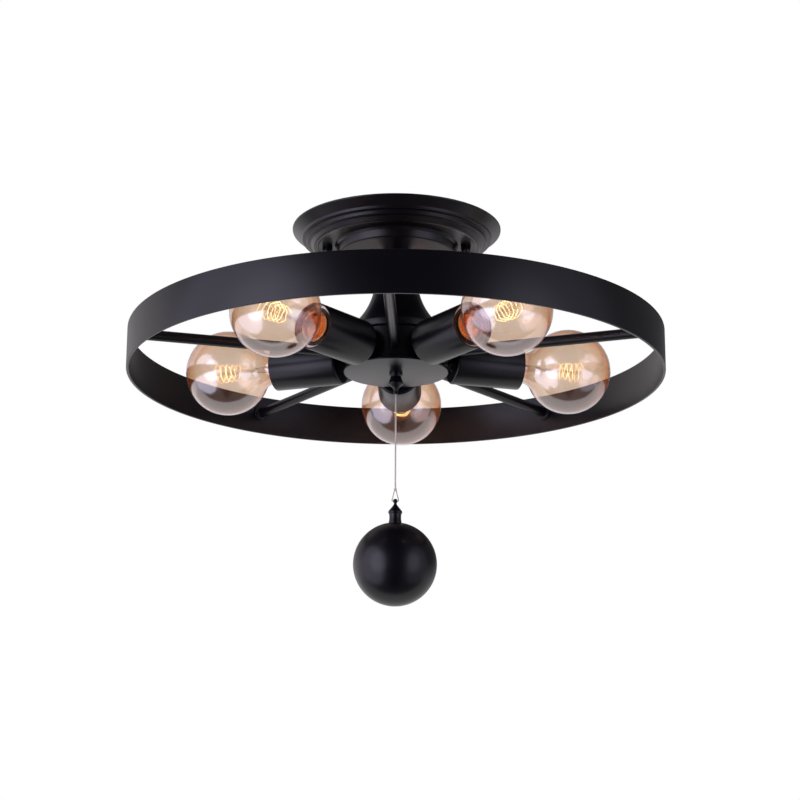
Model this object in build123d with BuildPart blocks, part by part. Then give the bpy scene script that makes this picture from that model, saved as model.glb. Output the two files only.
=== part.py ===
"""Semi-flush ceiling light.

A ring on five spokes hangs below a stepped ceiling canopy.  Five lamps point outwards between
the spokes, and a ball on a cord works the pull switch in the hub.

All sizes are in millimetres.  The origin is the centre of the canopy in the ceiling plane, +Z is
up, and -Y is the front.
"""

import os
from math import cos, radians, sin, sqrt

from build123d import *

os.makedirs("parts", exist_ok=True)

# Fits and clearances
thread_gap = 0.05      # radial room of a screwed pipe, stud or nut
seat_gap = 0.15        # radial room of a piece that sits in a bore
running_gap = 0.10     # radial room of a sliding rod
free_gap = 0.30        # room between pieces that move past each other

# Arms: spokes and lamps lie in one plane and alternate around the hub
arm_count = 5
arm_z = -124.0
first_spoke_angle = -90.0

# Lamp pipe and its lock nut, used for stem, spokes and lamp nipples
pipe_r = 4.85
pipe_wall = 1.25
nut_flats = 14.0
nut_thickness = 3.5

# Ring
ring_r = 247.65
ring_wall = 2.5
ring_height = 38.0
ring_drop = 1.5        # middle of the ring below the arms
collar_r = 8.0
collar_length = 2.0

# Canopy, from the rim at the ceiling in to the boss
canopy_wall = 1.0
canopy_bead_r = 1.3
rim_r = 97.9
rim_edge = 1.2
flare_r = 89.0
flare_depth = 8.0
upper_ledge_depth = 10.5
cove_r = 84.5
cove_depth = 14.0
cove_inner_r = 80.5
lower_ledge_r = 78.0
lower_ledge_depth = 18.5
lower_ledge_inner_r = 74.5
face_r = 73.0
face_depth = 16.0
face_inner_r = 58.0
shoulder_r = 56.2
shoulder_depth = 18.5
boss_r = 54.6
boss_depth = 25.4

# Ceiling strap, its studs, cap nuts and earth screw
strap_length = 150.0
strap_width = 20.0
strap_thickness = 2.0
slot_spacing = 79.4
slot_length = 14.5
slot_width = 5.0
stud_inset = 8.0       # from the edge of the canopy's face in to a stud
stud_r = 2.0
stud_hole_gap = 0.2
cap_nut_flats = 9.2
cap_nut_height = 4.0
stud_reach = 3.0       # length of the stud in its cap nut
earth_screw_x = 20.0
earth_screw_r = 2.0
earth_head_r = 4.0
earth_head_height = 2.4

# Neck
neck_wall = 1.0
neck_top_r = 11.4
taper_r = 22.0
taper_depth = 64.0
flare_foot_r = 45.0
lip_r = 46.2
lip_height = 7.5
lip_corner_r = 1.4
neck_flange_r = 38.0

# Hub drum and plate
hub_r = 44.5
hub_wall = 2.0
hub_height = 30.2
hub_top_z = -106.5
plate_r = 48.6
plate_thickness = 3.0
plate_edge_r = 0.8
spigot_height = 4.0
spigot_wall = 2.0
plate_screw_count = 3
plate_screw_r = 1.5
plate_screw_angle = 18.0

# Pull switch
switch_r = 13.0
switch_height = 19.5
switch_wall = 2.0
chamber_r = 6.2
nozzle_r = 3.0
nozzle_length = 10.0
rod_r = 1.5
rod_end = 2.0          # the rod's end below the drum
plunger_head_r = 5.6
plunger_head_height = 2.0
spring_r = 4.0
spring_wire = 0.9
spring_turns = 4.5

# Turned cord outlet
finial_top_r = 6.2
finial_top_height = 2.6
finial_waist_r = 5.0
finial_waist_height = 1.6
finial_bell_r = 7.1
finial_bell_height = 6.4
finial_bowl_height = 6.0
finial_bowl_angle = 30.0    # the bowl's start under the bell's rim, below level
finial_tip_r = 1.9
finial_tip_length = 4.0
cord_hole_r = 1.25

# Cord
cord_r = 0.8
mouth_gap = 0.5        # first bend of the cord below the outlet's tip
bend_step = 6.0        # from the first bend to the second
loop_rise = 12.4       # the cord's end above the eye that the loop goes through
knot_r = 1.4
loop_wire_r = 0.6
loop_half_width = 3.2
loop_corner_r = 1.0

# Ball and its turned cap
ball_r = 37.9
ball_wall = 1.2
ball_z = -319.3
cap_eye_rise = 20.4    # above the ball's top
cap_eye_r = 2.2
cap_eye_hole_r = 0.95
cap_neck_r = 1.4
cap_neck_length = 1.0
cap_cone_r = 6.5
cap_cone_rise = 9.6
cap_collar_r = 5.3
cap_collar_height = 4.0
cap_base_r = 5.9
cap_stud_r = 2.9
cap_stud_length = 7.0

# Lamp cup and what it holds, measured outwards along the arm from the hub's axis
cup_r = 21.0
cup_wall = 1.2
cup_start = 54.0
cup_end = 120.0
cup_edge_r = 2.5
nipple_engagement = 9.0
nipple_inner_end = 37.0
holder_end = 116.0
contact_seat = 86.0
contact_bore_r = 11.0
contact_r = 5.0
contact_thickness = 2.5
shell_wall = 0.5
shell_inner_end = 91.0
shell_end = 117.5
lead_r = 1.8
terminal_depth = 3.0
supply_lead_r = 1.2
supply_lead_half_gap = 0.4
supply_lead_top_z = -14.0

# Lamp: globe on a screw cap
screw_cap_r = 13.05
screw_cap_wall = 0.5
screw_cap_start = 95.5
screw_cap_end = 118.0
tip_r = 4.75
tip_height = 1.5
insulator_r = 11.0
insulator_tip_r = 6.0
globe_r = 40.0
globe_centre = 170.0
glass_wall = 1.0
glass_neck_r = 14.2
glass_blend_r = 15.0
glass_in_cap = 5.0

# Glass stem of a lamp, and the wire that is hung round it in a spiral on hooks
flare_thickness = 1.5
flare_end = 122.0
lamp_stem_r = 3.5
lamp_stem_end = 141.0
centre_rod_r = 1.2
centre_rod_end = 184.0
spiral_turns = 4.5
spiral_hooks = 6       # hooks on one turn
spiral_start = 158.0
spiral_end = 182.0
spiral_start_r = 8.5
spiral_end_r = 10.5
spiral_wire = 0.6
spiral_return_r = 4.0  # the wire's way back, inside the spiral
spiral_lead_r = 2.0

# Derived places
arm_step = 360 / arm_count
spoke_angles = [first_spoke_angle + arm_step * k for k in range(arm_count)]
lamp_angles = [angle + arm_step / 2 for angle in spoke_angles]
pipe_hole_r = pipe_r + thread_gap
pipe_bore_r = pipe_r - pipe_wall
ring_z = arm_z - ring_drop
ring_inner_r = ring_r - ring_wall
hub_inner_r = hub_r - hub_wall
hub_bottom_z = hub_top_z - hub_height
plate_bottom_z = hub_bottom_z - plate_thickness
stud_x = face_r - stud_inset
canopy_floor_z = -boss_depth + canopy_wall
hub_ceiling_z = hub_top_z - hub_wall
inner_nut_r = sqrt(hub_inner_r**2 - (nut_flats / sqrt(3)) ** 2) - thread_gap
switch_top_z = hub_bottom_z + switch_height
chamber_top_z = switch_top_z - switch_wall
chamber_floor_z = hub_bottom_z + switch_wall
nozzle_end_z = hub_bottom_z - nozzle_length
plunger_top_z = chamber_top_z - free_gap
plunger_seat_z = plunger_top_z - plunger_head_height
rod_end_z = hub_bottom_z - rod_end
finial_waist_z = plate_bottom_z - finial_top_height
finial_bell_z = finial_waist_z - finial_waist_height
finial_bowl_z = finial_bell_z - finial_bell_height
finial_bowl_end_z = finial_bowl_z - finial_bowl_height
finial_tip_z = finial_bowl_end_z - finial_tip_length
first_bend_z = finial_tip_z - mouth_gap
second_bend_z = first_bend_z - bend_step
ball_top_z = ball_z + ball_r
cap_eye_z = ball_top_z + cap_eye_rise
cap_cone_z = ball_top_z + cap_cone_rise
cord_bottom_z = cap_eye_z + loop_rise
knot_z = cord_bottom_z - free_gap - knot_r
cup_inner_r = cup_r - cup_wall
cup_floor = cup_start + cup_wall
contact_face = contact_seat + contact_thickness
shell_r = screw_cap_r + free_gap
lampholder_r = cup_inner_r - seat_gap
nipple_end = cup_floor + nipple_engagement
glass_socket_r = screw_cap_r - screw_cap_wall - seat_gap
glass_start = screw_cap_end - glass_in_cap
lead_bore_r = lead_r + seat_gap
terminal_r = switch_r - terminal_depth


def outward(angle):
    """Unit vector along the arm at this angle."""
    return Vector(cos(radians(angle)), sin(radians(angle)), 0)


def arm_axis(angle):
    """Axis of the arm at this angle."""
    return Axis((0, 0, arm_z), outward(angle))


def along_arm(angle):
    """Upright plane through an arm: local X runs out along the arm, local Y is the radius about it."""
    return Plane(origin=(0, 0, arm_z), x_dir=outward(angle), z_dir=outward(angle - 90))


def across_arm(angle, distance):
    """Plane square to an arm, at a distance from the hub's axis."""
    middle = Vector(0, 0, arm_z) + outward(angle) * distance
    return Plane(origin=middle, x_dir=(0, 0, 1), z_dir=outward(angle))


def around_arm(angle, distance, radius, turn):
    """Point at a distance along an arm and a radius and turn about it."""
    side = outward(angle + 90) * (radius * cos(radians(turn)))
    height = Vector(0, 0, arm_z + radius * sin(radians(turn)))
    return outward(angle) * distance + side + height


# Canopy
with BuildPart() as canopy:
    with BuildSketch(Plane.XZ):
        with BuildLine():
            FilletPolyline(
                (rim_r, 0),
                (rim_r, -rim_edge),
                (flare_r, -flare_depth),
                (flare_r, -upper_ledge_depth),
                (cove_r, -upper_ledge_depth),
                (cove_r, -cove_depth),
                (cove_inner_r, -cove_depth),
                (lower_ledge_r, -lower_ledge_depth),
                (lower_ledge_inner_r, -lower_ledge_depth),
                (face_r, -face_depth),
                (face_inner_r, -face_depth),
                (shoulder_r, -shoulder_depth),
                (boss_r, -boss_depth),
                (pipe_hole_r, -boss_depth),
                radius=canopy_bead_r,
            )
            offset(amount=canopy_wall, side=Side.RIGHT)
        make_face()
    revolve(axis=Axis.Z)
    with BuildSketch(Plane.XY.offset(-face_depth)):
        with Locations((-stud_x, 0), (stud_x, 0)):
            Circle(stud_r + stud_hole_gap)
    extrude(amount=canopy_wall, mode=Mode.SUBTRACT)
canopy.part.label = "canopy"
export_step(canopy.part, "parts/canopy.step")

# Ceiling strap
with BuildPart() as mounting_bracket:
    with BuildSketch(Plane.XY.offset(-strap_thickness)):
        SlotOverall(strap_length, strap_width)
        with Locations((-slot_spacing / 2, 0), (slot_spacing / 2, 0)):
            SlotOverall(slot_length, slot_width, mode=Mode.SUBTRACT)
        with Locations((-stud_x, 0), (stud_x, 0)):
            Circle(stud_r + thread_gap, mode=Mode.SUBTRACT)
        with Locations((earth_screw_x, 0)):
            Circle(earth_screw_r + thread_gap, mode=Mode.SUBTRACT)
    extrude(amount=strap_thickness)
mounting_bracket.part.label = "mounting_bracket"
export_step(mounting_bracket.part, "parts/mounting_bracket.step")

with BuildPart() as canopy_studs:
    with BuildSketch(Plane.XY):
        with Locations((-stud_x, 0), (stud_x, 0)):
            Circle(stud_r)
    extrude(amount=-(face_depth + stud_reach))
canopy_studs.part.label = "canopy_studs"
export_step(canopy_studs.part, "parts/canopy_studs.step")

# Cap nuts: a hexagon under the canopy, closed by a dome
with BuildPart() as canopy_nuts:
    with BuildSketch(Plane.XY.offset(-face_depth)):
        with Locations((-stud_x, 0), (stud_x, 0)):
            RegularPolygon(cap_nut_flats / 2, 6, major_radius=False)
    extrude(amount=-cap_nut_height)
    dome_z = -face_depth - cap_nut_height
    with Locations((-stud_x, 0, dome_z), (stud_x, 0, dome_z)):
        Sphere(cap_nut_flats / 2 - free_gap, arc_size2=0, align=(Align.CENTER, Align.CENTER, Align.MAX))
    with BuildSketch(Plane.XY.offset(-face_depth)):
        with Locations((-stud_x, 0), (stud_x, 0)):
            Circle(stud_r + thread_gap)
    extrude(amount=-(stud_reach + free_gap), mode=Mode.SUBTRACT)
canopy_nuts.part.label = "canopy_nuts"
export_step(canopy_nuts.part, "parts/canopy_nuts.step")

with BuildPart() as earth_screw:
    with BuildSketch(Plane.XY):
        with Locations((earth_screw_x, 0)):
            Circle(earth_screw_r)
    extrude(amount=-strap_thickness)
    with BuildSketch(Plane.XY.offset(-strap_thickness)):
        with Locations((earth_screw_x, 0)):
            Circle(earth_head_r)
    extrude(amount=-earth_head_height)
earth_screw.part.label = "earth_screw"
export_step(earth_screw.part, "parts/earth_screw.step")

# Stem: a lamp pipe that clamps canopy, neck and hub between two lock nuts
stem_top_z = canopy_floor_z + 2 * nut_thickness
stem_bottom_z = hub_ceiling_z - nut_thickness - thread_gap
with BuildPart() as stem:
    with BuildSketch(Plane.XY.offset(stem_bottom_z)):
        Circle(pipe_r)
        Circle(pipe_bore_r, mode=Mode.SUBTRACT)
    extrude(amount=stem_top_z - stem_bottom_z)
stem.part.label = "stem"
export_step(stem.part, "parts/stem.step")

# Trumpet neck
with BuildPart() as neck:
    with BuildSketch(Plane.XZ):
        with BuildLine():
            Line((pipe_hole_r, -boss_depth), (neck_top_r, -boss_depth))
            taper = Line((neck_top_r, -boss_depth), (taper_r, -taper_depth))
            flare = TangentArc(taper @ 1, (flare_foot_r, hub_top_z + lip_height), tangent=taper % 1)
            FilletPolyline(
                flare @ 1,
                (lip_r, hub_top_z + lip_height),
                (lip_r, hub_top_z),
                (neck_flange_r, hub_top_z),
                radius=(0, lip_corner_r),
            )
            offset(amount=neck_wall, side=Side.RIGHT)
        make_face()
    revolve(axis=Axis.Z)
neck.part.label = "neck"
export_step(neck.part, "parts/neck.step")

# Hub drum, with a hole for every spoke and lamp nipple
with BuildPart() as hub_body:
    with BuildSketch(Plane.XZ):
        with BuildLine():
            Polyline(
                (pipe_hole_r, hub_top_z),
                (hub_r, hub_top_z),
                (hub_r, hub_bottom_z),
                (hub_inner_r, hub_bottom_z),
                (hub_inner_r, hub_ceiling_z),
                (pipe_hole_r, hub_ceiling_z),
                close=True,
            )
        make_face()
    revolve(axis=Axis.Z)
    for angle in spoke_angles + lamp_angles:
        with BuildSketch(across_arm(angle, nipple_inner_end)):
            Circle(pipe_hole_r)
        extrude(amount=hub_r - nipple_inner_end + hub_wall, mode=Mode.SUBTRACT)
    for k in range(plate_screw_count):
        screw_angle = plate_screw_angle + 360 * k / plate_screw_count
        screw_axis = Plane(
            origin=Vector(0, 0, hub_bottom_z + spigot_height / 2) + outward(screw_angle) * nipple_inner_end,
            z_dir=outward(screw_angle),
        )
        with BuildSketch(screw_axis):
            Circle(plate_screw_r + thread_gap)
        extrude(amount=hub_r - nipple_inner_end + hub_wall, mode=Mode.SUBTRACT)
hub_body.part.label = "hub_body"
export_step(hub_body.part, "parts/hub_body.step")

# Hub plate: a disc with a spigot inside the drum
spigot_r = hub_inner_r - seat_gap
with BuildPart() as hub_plate:
    with BuildSketch(Plane.XY.offset(plate_bottom_z)):
        Circle(plate_r)
        Circle(nozzle_r + thread_gap, mode=Mode.SUBTRACT)
    extrude(amount=plate_thickness)
    fillet(hub_plate.edges().filter_by(GeomType.CIRCLE).sort_by(SortBy.RADIUS)[-2:], plate_edge_r)
    with BuildSketch(Plane.XY.offset(hub_bottom_z)):
        Circle(spigot_r)
        Circle(spigot_r - spigot_wall, mode=Mode.SUBTRACT)
    extrude(amount=spigot_height)
hub_plate.part.label = "hub_plate"
export_step(hub_plate.part, "parts/hub_plate.step")

with BuildPart() as plate_screws:
    for k in range(plate_screw_count):
        screw_angle = plate_screw_angle + 360 * k / plate_screw_count
        screw_seat = Plane(
            origin=Vector(0, 0, hub_bottom_z + spigot_height / 2) + outward(screw_angle) * spigot_r,
            z_dir=outward(screw_angle),
        )
        with BuildSketch(screw_seat):
            Circle(plate_screw_r)
        extrude(amount=hub_r - spigot_r - seat_gap)
plate_screws.part.label = "plate_screws"
export_step(plate_screws.part, "parts/plate_screws.step")

# Pull switch: a round housing with a chamber for the plunger and a nozzle through the plate
with BuildPart() as switch_housing:
    with BuildSketch(Plane.XZ):
        with BuildLine():
            Polyline(
                (0, switch_top_z),
                (switch_r, switch_top_z),
                (switch_r, hub_bottom_z),
                (nozzle_r, hub_bottom_z),
                (nozzle_r, nozzle_end_z),
                (rod_r + running_gap, nozzle_end_z),
                (rod_r + running_gap, chamber_floor_z),
                (chamber_r, chamber_floor_z),
                (chamber_r, chamber_top_z),
                (0, chamber_top_z),
                close=True,
            )
        make_face()
    revolve(axis=Axis.Z)
    for angle in lamp_angles:
        with BuildSketch(across_arm(angle, terminal_r)):
            Circle(lead_bore_r)
        extrude(amount=2 * terminal_depth, mode=Mode.SUBTRACT)
switch_housing.part.label = "switch_housing"
export_step(switch_housing.part, "parts/switch_housing.step")

with BuildPart() as pull_plunger:
    with BuildSketch(Plane.XY.offset(plunger_seat_z)):
        Circle(plunger_head_r)
    extrude(amount=plunger_head_height)
    with BuildSketch(Plane.XY.offset(rod_end_z)):
        Circle(rod_r)
    extrude(amount=plunger_seat_z - rod_end_z)
pull_plunger.part.label = "pull_plunger"
export_step(pull_plunger.part, "parts/pull_plunger.step")

# Return spring, pressed between the chamber's floor and the plunger's head
spring_height = plunger_seat_z - chamber_floor_z - spring_wire - 2 * seat_gap
with BuildPart() as return_spring:
    with BuildLine():
        coil = Helix(
            pitch=spring_height / spring_turns,
            height=spring_height,
            radius=spring_r,
            center=(0, 0, chamber_floor_z + spring_wire / 2 + seat_gap),
        )
    with BuildSketch(Plane(origin=coil @ 0, x_dir=(1, 0, 0), z_dir=coil % 0)):
        Rectangle(spring_wire, spring_wire)
    sweep(path=coil, is_frenet=True)
return_spring.part.label = "return_spring"
export_step(return_spring.part, "parts/return_spring.step")

# Turned cord outlet, screwed on the nozzle under the plate
nozzle_bore_end_z = nozzle_end_z - free_gap
with BuildPart() as finial:
    with BuildSketch(Plane.XZ):
        with BuildLine():
            Polyline(
                (cord_hole_r, finial_tip_z),
                (cord_hole_r, nozzle_bore_end_z),
                (nozzle_r + thread_gap, nozzle_bore_end_z),
                (nozzle_r + thread_gap, plate_bottom_z),
                (finial_top_r, plate_bottom_z),
                (finial_top_r, finial_waist_z),
                (finial_waist_r, finial_waist_z - finial_waist_height / 2),
                (finial_waist_r, finial_bell_z),
                (finial_bell_r, finial_bowl_z),
            )
            bowl_start = (-cos(radians(finial_bowl_angle)), -sin(radians(finial_bowl_angle)))
            TangentArc((finial_bell_r, finial_bowl_z), (finial_tip_r, finial_bowl_end_z), tangent=bowl_start)
            Line((finial_tip_r, finial_bowl_end_z), (finial_tip_r, finial_tip_z))
            Line((finial_tip_r, finial_tip_z), (cord_hole_r, finial_tip_z))
        make_face()
    revolve(axis=Axis.Z)
finial.part.label = "finial"
export_step(finial.part, "parts/finial.step")

# Ring
with BuildPart() as ring_band:
    with BuildSketch(Plane.XY.offset(ring_z - ring_height / 2)):
        Circle(ring_r)
        Circle(ring_inner_r, mode=Mode.SUBTRACT)
    extrude(amount=ring_height)
ring_band.part.label = "ring_band"
export_step(ring_band.part, "parts/ring_band.step")

# Spokes: pipes from inside the drum to a collar that meets the ring
collar_end = sqrt(ring_inner_r**2 - collar_r**2)
spoke_start = inner_nut_r - nut_thickness - thread_gap
for number, angle in enumerate(spoke_angles, start=1):
    with BuildPart() as spoke:
        with BuildSketch(across_arm(angle, spoke_start)):
            Circle(pipe_r)
            Circle(pipe_bore_r, mode=Mode.SUBTRACT)
        extrude(amount=collar_end - spoke_start)
        with BuildSketch(across_arm(angle, collar_end - collar_length)):
            Circle(collar_r)
            Circle(pipe_bore_r, mode=Mode.SUBTRACT)
        extrude(amount=collar_length)
    spoke.part.label = f"spoke_{number}"
    export_step(spoke.part, f"parts/spoke_{number}.step")

# Lock nuts: two on the stem, one inside the drum on every spoke and nipple, one behind every cup
with BuildPart() as lock_nuts:
    for nut_z in (canopy_floor_z, hub_ceiling_z - nut_thickness):
        with BuildSketch(Plane.XY.offset(nut_z)):
            RegularPolygon(nut_flats / 2, 6, major_radius=False)
            Circle(pipe_hole_r, mode=Mode.SUBTRACT)
        extrude(amount=nut_thickness)
    inside = [(angle, inner_nut_r - nut_thickness) for angle in spoke_angles + lamp_angles]
    behind_cups = [(angle, cup_start - nut_thickness) for angle in lamp_angles]
    for angle, distance in inside + behind_cups:
        with BuildSketch(across_arm(angle, distance)):
            RegularPolygon(nut_flats / 2, 6, major_radius=False)
            Circle(pipe_hole_r, mode=Mode.SUBTRACT)
        extrude(amount=nut_thickness)
lock_nuts.part.label = "lock_nuts"
export_step(lock_nuts.part, "parts/lock_nuts.step")

# Lamp cups
for number, angle in enumerate(lamp_angles, start=1):
    with BuildPart() as socket_cup:
        with BuildSketch(along_arm(angle)):
            with BuildLine():
                FilletPolyline(
                    (cup_start, pipe_hole_r),
                    (cup_start, cup_r),
                    (cup_end, cup_r),
                    radius=cup_edge_r,
                )
                offset(amount=cup_wall, side=Side.RIGHT)
            make_face()
        revolve(axis=arm_axis(angle))
    socket_cup.part.label = f"socket_cup_{number}"
    export_step(socket_cup.part, f"parts/socket_cup_{number}.step")

with BuildPart() as socket_nipples:
    for angle in lamp_angles:
        with BuildSketch(across_arm(angle, nipple_inner_end)):
            Circle(pipe_r)
            Circle(pipe_bore_r, mode=Mode.SUBTRACT)
        extrude(amount=nipple_end - nipple_inner_end)
socket_nipples.part.label = "socket_nipples"
export_step(socket_nipples.part, "parts/socket_nipples.step")

# Lampholders: insulating bodies, bored for the nipple behind and for shell and contact in front
holder_edge = cup_edge_r - cup_wall
with BuildPart() as lampholders:
    for angle in lamp_angles:
        with BuildSketch(along_arm(angle)):
            with BuildLine():
                Polyline(
                    (cup_floor, pipe_hole_r),
                    (cup_floor, lampholder_r - holder_edge),
                    (cup_floor + holder_edge, lampholder_r),
                    (holder_end, lampholder_r),
                    (holder_end, shell_r + shell_wall + seat_gap),
                    (shell_inner_end, shell_r + shell_wall + seat_gap),
                    (shell_inner_end, contact_bore_r),
                    (contact_seat, contact_bore_r),
                    (contact_seat, 0),
                    (nipple_end, 0),
                    (nipple_end, pipe_hole_r),
                    close=True,
                )
            make_face()
        revolve(axis=arm_axis(angle))
lampholders.part.label = "lampholders"
export_step(lampholders.part, "parts/lampholders.step")

with BuildPart() as screw_shells:
    for angle in lamp_angles:
        with BuildSketch(across_arm(angle, shell_inner_end)):
            Circle(shell_r + shell_wall)
            Circle(shell_r, mode=Mode.SUBTRACT)
        extrude(amount=shell_end - shell_inner_end)
screw_shells.part.label = "screw_shells"
export_step(screw_shells.part, "parts/screw_shells.step")

with BuildPart() as centre_contacts:
    for angle in lamp_angles:
        with BuildSketch(across_arm(angle, contact_seat)):
            Circle(contact_r)
        extrude(amount=contact_thickness)
centre_contacts.part.label = "centre_contacts"
export_step(centre_contacts.part, "parts/centre_contacts.step")

# Leads: two down the stem to the switch, one sheathed pair from the switch to every lampholder
with BuildPart() as leads:
    supply_x = supply_lead_r + supply_lead_half_gap
    with BuildSketch(Plane.XY.offset(switch_top_z)):
        with Locations((-supply_x, 0), (supply_x, 0)):
            Circle(supply_lead_r)
    extrude(amount=supply_lead_top_z - switch_top_z)
    for angle in lamp_angles:
        with BuildSketch(across_arm(angle, terminal_r)):
            Circle(lead_r)
        extrude(amount=nipple_end - terminal_r)
leads.part.label = "leads"
export_step(leads.part, "parts/leads.step")

# Cord, hanging straight under the ball: the end in the outlet, then two stretches that bend freely
with BuildPart() as cord_inner:
    with BuildSketch(Plane.XY.offset(rod_end_z)):
        Circle(cord_r)
    extrude(amount=-(rod_end_z - first_bend_z - cord_r - free_gap))
cord_inner.part.label = "cord_inner"
export_step(cord_inner.part, "parts/cord_inner.step")

with BuildPart() as cord_upper:
    with BuildSketch(Plane.XY.offset(first_bend_z)):
        Circle(cord_r)
    extrude(amount=-(bend_step - cord_r - free_gap))
    with Locations((0, 0, first_bend_z)):
        Sphere(cord_r)
cord_upper.part.label = "cord_upper"
export_step(cord_upper.part, "parts/cord_upper.step")

with BuildPart() as cord_lower:
    with BuildSketch(Plane.XY.offset(second_bend_z)):
        Circle(cord_r)
    extrude(amount=cord_bottom_z - second_bend_z)
    with Locations((0, 0, second_bend_z)):
        Sphere(cord_r)
cord_lower.part.label = "cord_lower"
export_step(cord_lower.part, "parts/cord_lower.step")

# Loop: tied under the cord, through the eye of the ball's cap
with BuildPart() as cord_loop:
    with BuildLine(Plane.XZ):
        loop_path = FilletPolyline(
            (-loop_wire_r, knot_z),
            (-loop_half_width, cap_eye_z),
            (loop_half_width, cap_eye_z),
            (loop_wire_r, knot_z),
            radius=loop_corner_r,
        )
    with BuildSketch(Plane(origin=loop_path @ 0, z_dir=loop_path % 0)):
        Circle(loop_wire_r)
    sweep(path=loop_path)
    with Locations((0, 0, knot_z)):
        Sphere(knot_r)
cord_loop.part.label = "cord_loop"
export_step(cord_loop.part, "parts/cord_loop.step")

# Turned cap of the ball: eye, neck, cone, collar and base over a stud
cap_neck_end_z = cap_eye_z - cap_eye_r - cap_neck_length
with BuildPart() as ball_cap:
    with BuildSketch(Plane.XZ):
        with BuildLine():
            Polyline((0, cap_eye_z), (cap_neck_r, cap_eye_z), (cap_neck_r, cap_neck_end_z))
            Line((cap_neck_r, cap_neck_end_z), (cap_cone_r, cap_cone_z))
            ThreePointArc(
                (cap_cone_r, cap_cone_z),
                (cap_collar_r, cap_cone_z - cap_collar_height),
                (cap_base_r, ball_top_z),
            )
            Polyline(
                (cap_base_r, ball_top_z),
                (cap_stud_r, ball_top_z),
                (cap_stud_r, ball_top_z - cap_stud_length),
                (0, ball_top_z - cap_stud_length),
                (0, cap_eye_z),
            )
        make_face()
    revolve(axis=Axis.Z)
    with Locations((0, 0, cap_eye_z)):
        Sphere(cap_eye_r)
    with BuildSketch(Plane.YZ):
        with Locations((0, cap_eye_z)):
            Circle(cap_eye_hole_r)
    extrude(amount=cap_eye_r, both=True, mode=Mode.SUBTRACT)
ball_cap.part.label = "ball_cap"
export_step(ball_cap.part, "parts/ball_cap.step")

# Ball: a hollow sphere with a hole for the cap's stud
with BuildPart() as ball:
    with Locations((0, 0, ball_z)):
        Sphere(ball_r)
        Sphere(ball_r - ball_wall, mode=Mode.SUBTRACT)
    with BuildSketch(Plane.XY.offset(ball_z)):
        Circle(cap_stud_r + thread_gap)
    extrude(amount=ball_r + cap_stud_length, mode=Mode.SUBTRACT)
ball.part.label = "ball"
export_step(ball.part, "parts/ball.step")

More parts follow.
